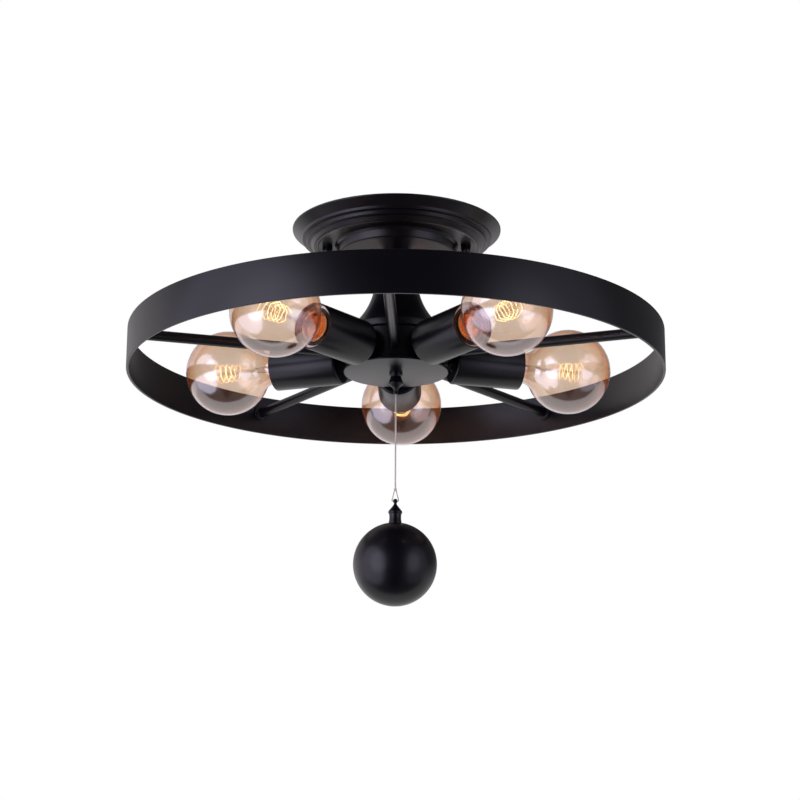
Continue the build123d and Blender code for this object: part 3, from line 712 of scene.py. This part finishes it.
paint(spun("cord_outlet", 64, [
    (1.25, -160.3), (1.25, -147.0), (3.05, -147.0), (3.05, -139.7), (6.2, -139.7),
    (6.2, -142.3, 0.7), (5.0, -143.1, 0.3), (5.0, -143.9, 0.3), (6.3, -147.6, 1.5),
    (7.1, -150.1, 0.6), (6.6, -150.8, 0.4), (3.6, -153.0, 1.5), (1.9, -156.3, 1.2),
    (1.9, -160.3, 0.4),
], closed=True), "finial")

# %% [markdown]
# ## Ring
# The ring is a flat bar rolled to a hoop, with its edges just broken.

# %% Ring
ring_r, ring_wall, ring_low, ring_high, ring_edge = 247.65, 2.5, -144.5, -106.5, 0.5
ring_inner_r = ring_r - ring_wall
paint(spun("ring", 256, [
    (ring_r, ring_low, ring_edge), (ring_r, ring_high, ring_edge),
    (ring_inner_r, ring_high, ring_edge), (ring_inner_r, ring_low, ring_edge),
], closed=True), "ring_band")

# %% [markdown]
# ## Spokes
# Each spoke is a pipe that ends in a small welded collar at the ring. The collar is flat, so it
# stops where its edge meets the ring's inside.

# %% Spokes
arm_count = 5
spoke_angles = [-90 + 360 / arm_count * k for k in range(arm_count)]
lamp_angles = [angle + 180 / arm_count for angle in spoke_angles]
pipe_r, pipe_bore, spoke_start, collar_r, collar_depth = 4.85, 3.6, 38.1, 8.0, 2.0
collar_end = sqrt(ring_inner_r**2 - collar_r**2)
collar_start = collar_end - collar_depth
spoke = spun("spoke_tube", 40, [
    (spoke_start, pipe_bore), (spoke_start, pipe_r), (collar_start, pipe_r, 0.9),
    (collar_start, collar_r, 0.5), (collar_end, collar_r, 0.2), (collar_end, pipe_bore),
], closed=True, arm=True)
dress_round(spoke, spoke_angles, black_coat, "fixture", "black_paint", "spoke_{}")

# %% [markdown]
# ## Lamp cups
# The cups are drawn from sheet steel, with a round shoulder at the hub and a plain rim. They stand
# between the spokes.

# %% Lamp cups
cup_r, cup_start, cup_end, cup_wall = 21.0, 54.0, 120.0, 1.2
cup = spun("lamp_cup", 96, [
    (cup_start, pipe_hole_r), (cup_start, cup_r, 2.5), (cup_end, cup_r),
], arm=True)
give_wall(cup, cup_wall)
soften(cup, 0.3, limit=50)
dress_round(cup, lamp_angles, black_coat, "fixture", "black_paint", "socket_cup_{}")

# %% [markdown]
# ## Cap nuts
# Two small domed nuts hold the canopy. A six-sided cylinder is chamfered by a turned cone and
# closed by a turned dome; a Boolean joins them to one skin.

# %% Cap nuts
nut_flats, nut_height, canopy_face_z, stud_x = 9.2, 4.0, -16.0, 65.0
nut_foot_z = canopy_face_z - nut_height
dome_z = canopy_face_z - 2.0


def combined(piece, tool, operation):
    """One skin from two closed pieces; the tool is used up."""
    only(piece)
    joint = piece.modifiers.new("joint", "BOOLEAN")
    joint.operation = operation
    joint.solver = "EXACT"
    joint.object = tool
    bpy.ops.object.modifier_apply(modifier=joint.name)
    bpy.data.objects.remove(tool)


bpy.ops.mesh.primitive_cylinder_add(
    vertices=6, radius=nut_flats / sqrt(3) * mm, depth=nut_height * mm,
    location=(0, 0, (canopy_face_z - nut_height / 2) * mm),
)
nut = bpy.context.object
nut.name = "cap_nut"
bpy.ops.object.transform_apply()
combined(nut, spun("nut_chamfer", 48, [
    (0, canopy_face_z), (5.5, canopy_face_z), (5.5, canopy_face_z - 3.3), (4.5, nut_foot_z),
    (0, nut_foot_z),
]), "INTERSECT")
combined(nut, spun("nut_dome", 48, [
    (0, dome_z), (4.2, dome_z), (4.2, canopy_face_z - 5.2, 1.2), (2.9, canopy_face_z - 7.5, 1.3),
    (0, canopy_face_z - 8.3),
]), "UNION")
nuts = []
for side in (-1, 1):
    copy = copied(nut)
    copy.location.x = side * stud_x * mm
    bpy.ops.object.transform_apply()
    nuts.append(copy)
bpy.data.objects.remove(nut)
cap_nuts = joined(*nuts)
cap_nuts.name = cap_nuts.data.name = "canopy_cap_nuts"
paint(cap_nuts, "canopy_nuts")

# %% [markdown]
# ## Ball
# A ball comes from two spins: a vertex turned half round gives its outline, and the outline turned
# round the upright axis gives the skin.

# %% Ball
ball_r, ball_z = 37.9, -319.3
ball = loose_vertex("pull_ball", 0, ball_z + ball_r)
bpy.ops.mesh.spin(steps=64, angle=pi, center=(0, 0, ball_z * mm), axis=(0, 1, 0))
turned(ball, 128)
dress(ball, ball_coat, "ball", "black_ball", "ball")

# %% [markdown]
# ## Ball cap
# The cap is turned like the cord outlet. Its eye is a small knob whose outline is spun, and a
# Boolean drills it for the loop.

# %% Ball cap
eye_r, eye_hole_r, eye_turn, cap_foot_r = 2.2, 0.95, radians(145), 5.9
cap_base_z = ball_z + sqrt(ball_r**2 - cap_foot_r**2)
cap = loose_vertex("pull_ball_cap", 0, eye_z + eye_r)
bpy.ops.mesh.spin(steps=20, angle=eye_turn, center=(0, 0, eye_z * mm), axis=(0, -1, 0))
eye_end = (eye_r * sin(eye_turn), eye_z + eye_r * cos(eye_turn))
pick_corner(cap, *eye_end)
cap_corners = [
    (1.4, -264.1, 0.5), (3.0, -266.4, 1.5), (6.2, -270.4, 0.6), (6.5, -271.8, 0.5),
    (5.5, -273.2, 0.8), (5.3, -277.0, 1.5), (cap_foot_r, cap_base_z + 0.7, 0.4),
    (cap_foot_r, cap_base_z), (0, cap_base_z - 0.4),
]
draw_on(eye_end, cap_corners)
round_corners(cap, cap_corners)
turned(cap, 64)
bpy.ops.mesh.primitive_cylinder_add(vertices=32, radius=eye_hole_r * mm, depth=3 * eye_r * mm)
drill = bpy.context.object
drill.rotation_euler.y = pi / 2
drill.location.z = eye_z * mm
bpy.ops.object.transform_apply()
combined(cap, drill, "DIFFERENCE")
soften(cap, 0.15, limit=40)
dress(cap, ball_coat, "ball", "black_ball", "ball_cap")

# %% [markdown]
# ## Globe
# Each lamp is a blown amber globe with a screw cap, a glass stem and a long wire that is hung round
# it in a spiral. The globe's outline is an arc, a hollow arc that meets it, and the straight neck.

# %% Globe
globe_r, globe_at, neck_r, blend_r, glass_wall = 40.0, 170.0, 14.2, 15.0, 1.0
cap_end, socket_r, glass_start = 118.0, 12.4, 113.0
blend_reach = sqrt((globe_r + blend_r) ** 2 - (neck_r + blend_r) ** 2)
blend_at = globe_at - blend_reach
shoulder = acos(blend_reach / (globe_r + blend_r))
globe = loose_vertex("globe", globe_at + globe_r, arm_z)
globe_centre = Vector((globe_at, 0, arm_z)) * mm
bpy.ops.mesh.spin(steps=56, angle=pi - shoulder, center=globe_centre, axis=(0, 1, 0))
blend_centre = Vector((blend_at, 0, arm_z + neck_r + blend_r)) * mm
bpy.ops.mesh.spin(steps=12, angle=pi / 2 - shoulder, center=blend_centre, axis=(0, -1, 0))
pick(globe, lambda p: p.x < blend_at + same_place)
neck_line = [(blend_at, neck_r), (cap_end, neck_r), (cap_end, socket_r), (glass_start, socket_r)]
neck_line = [(x, arm_z + r) for x, r in neck_line]
draw_on(neck_line[0], neck_line[1:])
turned(globe, 96, arm=True)
bpy.ops.object.material_slot_add()
bpy.ops.object.material_slot_add()
give_wall(globe, glass_wall, inside_slot=1)
size = [round(v / mm, 1) for v in globe.dimensions]
print("globe: shoulder at", round(degrees(shoulder), 1), "degrees, size", size, "mm")

# %% [markdown]
# ### Amber glass
# The globe is a thin wall, so light goes straight through: a transparent shader shows that without
# bending. Such lamps carry a thin metal film, so the outside mirrors about a quarter of the light,
# and more at flat angles. The tint is in the inside skin, so the outer mirror stays neutral. A
# little scatter lets the wall glow at its outline and, more so, deep in the neck.

# %% Amber glass
def from_axis(tree, place):
    """The distance from the hub's upright axis."""
    flat = add_node(tree, "VectorMath", {0: place, 1: (1, 1, 0)}, operation="MULTIPLY")
    length = add_node(tree, "VectorMath", {0: flat.outputs[0]}, operation="LENGTH")
    return length.outputs["Value"]


def turned_away(tree, power=1.0):
    """A factor that is 0 where a wall faces the eye and 1 at its outline, to a power."""
    layer = add_node(tree, "LayerWeight", {"Blend": 0.5})
    return maths(tree, "POWER", layer.outputs["Facing"], power)


film_share, film_flat, film_power, film_blur = 0.26, 0.60, 2.6, 0.16
film, tree, _ = new_finish("amber_glass_film")
share = maths(tree, "MULTIPLY_ADD", turned_away(tree, film_power), film_flat, film_share)
clear = add_node(tree, "BsdfTransparent", {"Color": (1, 0.995, 0.985)})
mirror = add_node(tree, "BsdfGlossy", {"Roughness": film_blur, "Color": (0.99, 0.99, 1.0)})
ends_with(tree, mixed(tree, share, clear, mirror))

thin_tint, flat_tint = (0.985, 0.888, 0.80), (0.925, 0.655, 0.445)
neck_tint, scatter_tint = (0.96, 0.80, 0.64), (0.85, 0.36, 0.12)
haze, neck_haze, edge_haze, edge_power = 0.003, 0.16, 0.03, 5.0
neck_from, neck_to = 128, 119
amber, tree, place = new_finish("amber_glass")
in_neck = between(tree, from_axis(tree, place), 0, 1, neck_from * mm, neck_to * mm, **soft)
wall_tint = shades(tree, turned_away(tree), thin_tint, flat_tint)
clear = add_node(tree, "BsdfTransparent", {"Color": shades(tree, in_neck, wall_tint, neck_tint)})
scatter = add_node(tree, "BsdfTranslucent", {"Color": scatter_tint})
neck_glow = between(tree, in_neck, haze, neck_haze)
glowing = maths(tree, "MULTIPLY_ADD", turned_away(tree, edge_power), edge_haze, neck_glow)
ends_with(tree, mixed(tree, glowing, clear, scatter))

globe.material_slots[1].material = amber
inside = sum(face.material_index for face in globe.data.polygons)
print("amber glass:", inside, "of", len(globe.data.polygons), "faces are inside")
dress_round(globe, lamp_angles, film, "lamp_{}", "amber_glass", "bulb_glass_{}")

# %% [markdown]
# ## Metal finishes
# Bare metal is a mirror with a fine grain in colour, roughness and relief. On the studs and pipes,
# whose threads are too fine to model, waves along the axis stand for the thread.

# %% Metal finishes
cloud_share, grain_height = 0.1, 0.02
wave_rate = 20  # at scale 1, Blender's waves repeat every 2 pi / 20


def metal(name, first, second, smooth, rough, grain_scale, thread=None):
    """A metal between two colours; a thread is its pitch and its depth in millimetres."""
    finish, tree, place = new_finish(name)
    cloud = grain(tree, place, grain_scale * cloud_share)
    fine = grain(tree, place, grain_scale, 3.0)
    height, depth = fine, grain_height
    if thread:
        pitch, depth = thread
        values = {"Vector": place, "Scale": 2 * pi / (wave_rate * pitch * mm)}
        height = add_node(tree, "TexWave", values, bands_direction="Z").outputs[0]
    skin(tree, {
        "Metallic": 1.0,
        "Base Color": shades(tree, cloud, first, second),
        "Roughness": between(tree, fine, smooth, rough),
        "Normal": relief(tree, height, depth),
    })
    return finish


cap_brass = metal("cap_brass", (0.80, 0.62, 0.30), (0.70, 0.52, 0.24), 0.22, 0.34, 1500)
zinc = metal("zinc_plate", (0.62, 0.62, 0.60), (0.50, 0.52, 0.53), 0.28, 0.45, 900)
zinc_thread = metal(
    "zinc_thread", (0.60, 0.60, 0.58), (0.50, 0.51, 0.52), 0.30, 0.42, 900, thread=(0.7, 0.25)
)
bright_steel = metal("bright_steel", (0.56, 0.55, 0.53), (0.46, 0.45, 0.44), 0.20, 0.35, 1800)
print("metals:", cap_brass.name, zinc.name, zinc_thread.name, bright_steel.name)

# %% [markdown]
# ## Screw cap
# A screw cap's thread is rolled into its thin metal. One wave of the thread is drawn, the Screw
# modifier winds it along the arm, and two cuts square to the arm trim the ends. A plain collar at
# the glass closes it.

# %% Screw cap
def wind(piece, axis, pitch, turns, steps):
    """Winds an outline along an axis with the Screw modifier, and leaves it in edit mode."""
    bpy.ops.object.mode_set(mode="OBJECT")
    winding = piece.modifiers.new("winding", "SCREW")
    winding.axis = axis
    winding.screw_offset = pitch * mm
    winding.iterations = turns
    winding.steps = winding.render_steps = steps
    bpy.ops.object.modifier_apply(modifier=winding.name)
    bpy.ops.object.mode_set(mode="EDIT")
    merge_all()


cap_start, cap_r, cap_wall, thread_pitch, thread_depth = 95.5, 13.05, 0.3, 3.629, 0.75
thread_turns, wave_steps, cap_collar = 7, 12, 4.6
thread_end = cap_end - cap_collar
first_x = thread_end - (thread_turns - 1) * thread_pitch
wave = []
for step in range(wave_steps + 1):
    dip = thread_depth * (0.5 - 0.5 * cos(2 * pi * step / wave_steps))
    wave.append((first_x + thread_pitch * step / wave_steps, cap_r - dip))
screw_cap = outline("screw_cap", wave)
wind(screw_cap, "X", thread_pitch, thread_turns, 48)
bpy.ops.transform.translate(value=(0, 0, arm_z * mm))
for cut_x, from_start in ((cap_start, True), (thread_end, False)):
    bpy.ops.mesh.select_all(action="SELECT")
    bpy.ops.mesh.bisect(
        plane_co=(cut_x * mm, 0, arm_z * mm), plane_no=(1, 0, 0),
        clear_inner=from_start, clear_outer=not from_start,
    )
face_out()
give_wall(screw_cap, cap_wall)
collar = spun("screw_cap_collar", 64, [
    (thread_end - 0.5, cap_r - thread_depth - cap_wall), (thread_end - 0.5, cap_r - thread_depth),
    (thread_end + 0.3, cap_r, 0.4), (cap_end, cap_r, 0.3), (cap_end, cap_r - 0.5),
], closed=True, arm=True)
joined(screw_cap, collar)
dress_round(screw_cap, lamp_angles, cap_brass, "lamp_{}", "brass", "bulb_cap_{}")

# %% [markdown]
# ## Glass stem
# Inside the globe a clear stem with a pinched end carries a rod with a button. Clear glass shows
# mostly at its outline. Where the stem is sealed into the cap, warm cement shows through it.

# %% Glass stem
seal_r, stem_r, stem_end, rod_r, rod_end, button_r = 11.1, 3.5, 141.0, 1.2, 184.0, 2.0
mount = spun("glass_stem", 40, [
    (glass_start, 0), (glass_start, seal_r), (glass_start + 1.5, seal_r, 0.6),
    (122.0, stem_r, 2.5), (stem_end, stem_r, 1.6), (stem_end + 1.5, rod_r, 0.6),
    (rod_end - 2.2, rod_r, 0.4), (rod_end - 1.6, button_r, 0.5), (rod_end, button_r, 0.7),
    (rod_end, 0),
], arm=True)
pinch_start, pinch = 132.0, (1.0, 1.25, 0.6)
bpy.ops.object.mode_set(mode="EDIT")
pick(mount, lambda p: pinch_start < p.x < stem_end + 1.0)
bpy.ops.transform.resize(value=pinch, center_override=(0, 0, arm_z * mm))
bpy.ops.object.mode_set(mode="OBJECT")

seal_from, seal_to, seal_share = 132, 124, 0.6
stem_share, stem_flat, stem_power, stem_blur = 0.08, 0.7, 3.0, 0.06
ripple_scale, ripple_height = 90, 0.1
clear_glass, tree, place = new_finish("clear_glass")
share = maths(tree, "MULTIPLY_ADD", turned_away(tree, stem_power), stem_flat, stem_share)
through = add_node(tree, "BsdfTransparent", {"Color": (0.93, 0.89, 0.84)})
ripple = relief(tree, grain(tree, place, ripple_scale), ripple_height)
shine = add_node(tree, "BsdfGlossy", {"Roughness": stem_blur, "Normal": ripple})
cement = add_node(tree, "BsdfDiffuse", {"Color": (0.34, 0.14, 0.045)})
distance = from_axis(tree, place)
sealed = between(tree, distance, 0, seal_share, seal_from * mm, seal_to * mm, **soft)
ends_with(tree, mixed(tree, sealed, mixed(tree, share, through, shine), cement))
dress_round(mount, lamp_angles, clear_glass, "lamp_{}", "filament_glass", "bulb_mount_{}")

# %% [markdown]
# ## Spiral wire and its hooks
# Thin hooks stand out from the rod and hold the glowing wire, which runs round it from hook to hook
# and sags a little between them. The wire itself is a very fine coil, far thinner than one pixel,
# so one round tube stands for it. Small steps in and out make it look bent by hand.

# %% Spiral wire and its hooks
spiral_turns, hooks_a_turn, spiral_wire_r, hook_r = 4.5, 6, 0.36, 0.13
spiral_start, spiral_end, spiral_start_r, spiral_end_r = 158.0, 182.0, 8.5, 10.5
return_r, lead_seat, lead_seat_r, hand_bent, hand_beat = 4.0, 139.0, 2.0, 0.7, 2.4
near_hook, sag = 0.08, Vector((0.5, 0, -0.15))
hook_lean, knee_lean, knee_share = 2.0, 1.6, 0.6
first_knee, first_knee_r, last_knee, last_stop = 6, 3.0, 8, 2


def round_arm(distance, radius, turn):
    """A point along the arm on +X, at a radius and a turn about it, in millimetres."""
    return Vector((distance, radius * cos(radians(turn)), arm_z + radius * sin(radians(turn))))


hook_count = round(spiral_turns * hooks_a_turn)
last_turn = 360 * spiral_turns
hook_places = []
for hook in range(hook_count + 1):
    way = hook / hook_count
    uneven = hand_bent * sin(hook * hand_beat)
    hook_places.append((
        spiral_start + (spiral_end - spiral_start) * way + uneven,
        spiral_start_r + (spiral_end_r - spiral_start_r) * way - abs(uneven),
        last_turn * way,
    ))
spiral = [round_arm(*place) for place in hook_places]
hung = [spiral[0]]
for here, ahead in zip(spiral, spiral[1:]):
    hung.append(here.lerp(ahead, near_hook))
    hung.append(here.lerp(ahead, 0.5) + sag)
    hung.append(here.lerp(ahead, 1 - near_hook))
hung.append(spiral[-1])
spiral_line = route("spiral_route", hung, fineness=9)
spiral_wire = tubes("spiral_wire", [spiral_line], spiral_wire_r)

hooks = []
for distance, radius, turn in hook_places[1:-1]:
    root = round_arm(distance - hook_lean, rod_r, turn)
    knee = round_arm(distance - knee_lean, radius * knee_share, turn)
    hooks.append(route("hook_route", [root, knee, round_arm(distance, radius, turn)], fineness=4))
first_lead = [
    round_arm(lead_seat, lead_seat_r, 0),
    round_arm(lead_seat + first_knee, first_knee_r, 0),
    spiral[0],
]
last_lead = [
    round_arm(lead_seat, lead_seat_r, last_turn),
    round_arm(lead_seat + last_knee, return_r, last_turn),
    round_arm(spiral_end - last_stop, return_r, last_turn),
    spiral[-1],
]
hooks += [route("lead_route", points, fineness=6) for points in (first_lead, last_lead)]
hook_wires = tubes("spiral_hooks", hooks, hook_r, sides=1)
print("spiral:", len(spiral_wire.data.polygons), "faces of wire,", len(hooks), "hooks and leads")

# %% [markdown]
# ### Glowing wire
# The wire glows from orange at its cooler ends, where the leads take heat away, to yellow in the
# middle. The distance from the hub's axis gives that place on every lamp alike. A coil lets light
# pass between its turns, most of all near its edge, so the tube fades out where it turns away.

# %% Glowing wire
cool_end, hot_middle, glow_strength = (1.0, 0.52, 0.18), (1.0, 0.80, 0.42), 3.0
least_gap, full_gap, gap_from, gap_to = 0.30, 1.0, 0.05, 0.75
glow, tree, place = new_finish("glowing_wire")
heat = between(tree, from_axis(tree, place), 0, 1, spiral_start * mm, spiral_end * mm)
ramp = add_node(tree, "ValToRGB", {"Fac": heat})
for stop in ramp.color_ramp.elements:
    stop.color = (*cool_end, 1)
ramp.color_ramp.elements.new(0.5).color = (*hot_middle, 1)
ember = add_node(tree, "BsdfPrincipled", {
    "Base Color": (0.1, 0.08, 0.06),
    "Emission Color": ramp.outputs["Color"],
    "Emission Strength": glow_strength,
})
gap = add_node(tree, "BsdfTransparent")
loose = between(tree, turned_away(tree), least_gap, full_gap, gap_from, gap_to)
ends_with(tree, mixed(tree, loose, ember, gap))
dress_round(spiral_wire, lamp_angles, glow, "lamp_{}", "filament_glass")
dress_round(hook_wires, lamp_angles, bright_steel, "lamp_{}", "filament_glass")

# %% [markdown]
# ### Lamp light
# So fine a wire would light its surroundings with much noise, so a small soft lamp in each globe
# gives that warm light. Camera and mirrors don't see it.

# %% Lamp light
glow_power, glow_colour, glow_size, glow_at = 0.7, (1.0, 0.50, 0.17), 0.014, globe_at + 3
for number, angle in enumerate(lamp_angles, start=1):
    place = Matrix.Rotation(radians(angle), 3, "Z") @ Vector((glow_at, 0, arm_z)) * mm
    light, holder = new_light(f"lamp_glow_{number}", "POINT", glow_power, glow_colour, place)
    light.shadow_soft_size = glow_size
    holder.visible_glossy = False
print("lamp light:", arm_count, "lamps of", glow_power, "W")

# %% [markdown]
# ## Leads
# Two supply leads come down the stem, and one sheathed pair runs from the switch to each lamp. They
# lie straight in their pipes, so each is one tube along a straight line.

# %% Leads
weave_scale, weave_height = 1800, 0.03
sheath, tree, place = new_finish("lead_sheath")
weave = grain(tree, place, weave_scale)
skin(tree, {
    "Base Color": shades(tree, weave, (0.030, 0.030, 0.032), (0.055, 0.055, 0.056)),
    "Roughness": between(tree, weave, 0.5, 0.65),
    "IOR": 1.5,
    "Normal": relief(tree, weave, weave_height),
})
switch_top_z, supply_top_z, supply_x, supply_r = -117.2, -14.0, 1.6, 1.2
lead_from, lead_to, lead_r = 10.0, 64.2, 1.8


def lead(name, points, radius):
    """A straight sheathed lead along a smooth line."""
    line = route(name + "_route", points, fineness=12)
    piece = tubes(name, [line], radius, sides=4)
    dress(piece, sheath, "fixture", "lead_sheath", "leads")


for side, name in ((-1, "supply_lead_left"), (1, "supply_lead_right")):
    heights = [switch_top_z + (supply_top_z - switch_top_z) * k / 4 for k in range(5)]
    lead(name, [(side * supply_x, 0, z) for z in heights], supply_r)
for number, angle in enumerate(lamp_angles, start=1):
    ray = Vector((cos(radians(angle)), sin(radians(angle)), 0))
    reach = [lead_from + (lead_to - lead_from) * k / 3 for k in range(4)]
    lead(f"lamp_lead_{number}", [ray * d + Vector((0, 0, arm_z)) for d in reach], lead_r)

# %% [markdown]
# ## Return spring
# A small circle is wound by the Screw modifier, and its two ends are filled. The spring is pressed
# together when the cord is pulled.

# %% Return spring
spring_r, spring_wire, spring_low, spring_high, spring_turns = 4.0, 0.45, -134.55, -121.65, 5
circle_steps, pull_travel = 10, 7.0
circle = []
for step in range(circle_steps):
    turn = 2 * pi * step / circle_steps
    circle.append((spring_r + spring_wire * cos(turn), spring_low + spring_wire * (1 + sin(turn))))
spring = outline("switch_spring", circle, closed=True)
spring_pitch = (spring_high - spring_low - 2 * spring_wire) / spring_turns
wind(spring, "Z", spring_pitch, spring_turns, 24)
bpy.ops.mesh.select_non_manifold(extend=False)
bpy.ops.mesh.edge_face_add()
face_out()
dress(spring, bright_steel, "fixture", "spring_steel", "return_spring")
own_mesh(spring)

# %% [markdown]
# ## Finishes for the frame's own pieces
# What is left of the frame is right in shape: strap, studs, nuts, lampholders, shells and contacts.
# These nodes stay and get a finish each. The lampholders are black mouldings, bare metal at their
# outer rim, and the lamps' tips change from insulator to metal at one place along the arm.

# %% Finishes on frame nodes
green, tree, place = new_finish("green_screw")
fine = grain(tree, place, 900)
skin(tree, {
    "Metallic": 0.7,
    "Base Color": shades(tree, fine, (0.03, 0.24, 0.07), (0.05, 0.32, 0.11)),
    "Roughness": between(tree, fine, 0.3, 0.45),
})
rim_from, rim_to, rim_metal = 17.4, 17.6, (0.70, 0.69, 0.66)


def arm_rim(tree, place):
    """1 far from the nearest lamp's axis: the angle round the hub is wrapped to that of one arm."""
    parts = add_node(tree, "SeparateXYZ", {0: place}).outputs
    half_step = pi / arm_count
    angle = maths(tree, "ARCTAN2", parts["Y"], parts["X"])
    angle = maths(tree, "ADD", angle, -radians(lamp_angles[0]))
    slant = maths(tree, "SINE", maths(tree, "WRAP", angle, half_step, -half_step))
    aside = maths(tree, "MULTIPLY", from_axis(tree, place), slant)
    above = maths(tree, "ADD", parts["Z"], -arm_z * mm)
    across = add_node(tree, "CombineXYZ", {"X": aside, "Y": above}).outputs[0]
    from_arm = add_node(tree, "VectorMath", {0: across}, operation="LENGTH").outputs["Value"]
    return between(tree, from_arm, 0, 1, rim_from * mm, rim_to * mm)


def moulding(name, black, rimmed=False):
    """Black phenolic moulding with faint flow marks, and with a metal rim where it has one."""
    finish, tree, place = new_finish(name)
    flow = grain(tree, place, 60, 4.0)
    values = {
        "Base Color": shades(tree, flow, black, [2 * v for v in black]),
        "Roughness": between(tree, flow, 0.25, 0.38),
        "IOR": 1.5,
    }
    if rimmed:
        values["Metallic"] = rim = arm_rim(tree, place)
        values["Base Color"] = shades(tree, rim, values["Base Color"], rim_metal)
    skin(tree, values)
    return finish


phenolic = moulding("black_phenolic", (0.006, 0.006, 0.006))
holder_phenolic = moulding("rimmed_phenolic", (0.002, 0.002, 0.002), rimmed=True)

tip_metal, tip_black, metal_from, metal_to = (0.72, 0.70, 0.66), (0.012, 0.010, 0.014), 89.9, 90.1
tip, tree, place = new_finish("lamp_tip")
insulator = between(tree, from_axis(tree, place), 0, 1, metal_from * mm, metal_to * mm)
skin(tree, {
    "Base Color": shades(tree, insulator, tip_metal, tip_black),
    "Metallic": maths(tree, "SUBTRACT", 1.0, insulator),
    "Roughness": 0.25,
})
finishes = {
    "mounting_bracket": zinc, "canopy_studs": zinc_thread, "stem": zinc_thread,
    "earth_screw": green, "plate_screws": bright_steel, "lampholders": holder_phenolic,
    "switch_housing": phenolic, "pull_plunger": phenolic, "lock_nuts": black_coat,
    "socket_nipples": black_coat, "screw_shells": cap_brass, "centre_contacts": cap_brass,
}
finishes.update({f"bulb_tip_{k + 1}": tip for k in range(arm_count)})
for name, finish in finishes.items():
    nodes[name].material_slots[0].material = finish
left = sorted(n for n in nodes if not nodes[n].hide_render and n not in finishes)
print("frame nodes with a finish:", len(finishes), "and without:", left)

# %% [markdown]
# ## Size and end
# The dressed object has to stay in the frame's box, so both boxes are measured, and the last line
# prints how far the dressed one reaches beyond the frame's.

# %% Size and end
low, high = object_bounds()
beyond = [round(v / mm, 2) for v in (*(cad_low - low), *(high - cad_high))]
print("visual box beyond the frame's, mm:", beyond)
